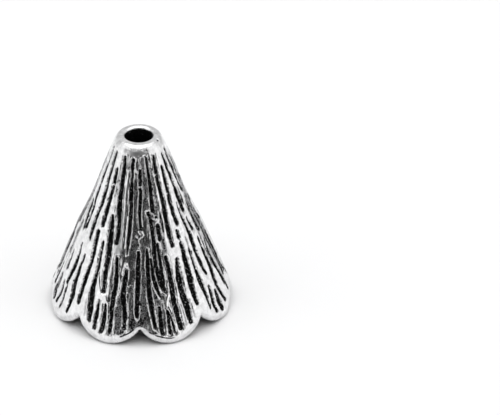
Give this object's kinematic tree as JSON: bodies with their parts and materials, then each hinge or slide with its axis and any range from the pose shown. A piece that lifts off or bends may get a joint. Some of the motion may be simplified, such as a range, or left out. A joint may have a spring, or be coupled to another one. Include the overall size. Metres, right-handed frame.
{
  "type": "cord end cap",
  "caption": "Hollow cone-shaped cord end cap in antiqued silver, with a hole through its flat top, a fluted bark-like surface and a scalloped rim.",
  "frame": {"origin": "on the cone's axis, at the plane that the rim's lobes rest on", "axes": "+Z along the cord hole, from the open rim up to the flat top; -Y is the side that the picture shows, with a notch of the rim in the middle"},
  "size_m": [0.0152, 0.0152, 0.0164],
  "materials": {
    "antique_silver": "antique silver plate on cast zinc alloy: polished ridges, rim and top, blackened rough groove floors"
  },
  "bodies": {
    "root": {"end_cap": "antique_silver"}
  },
  "joints": []
}
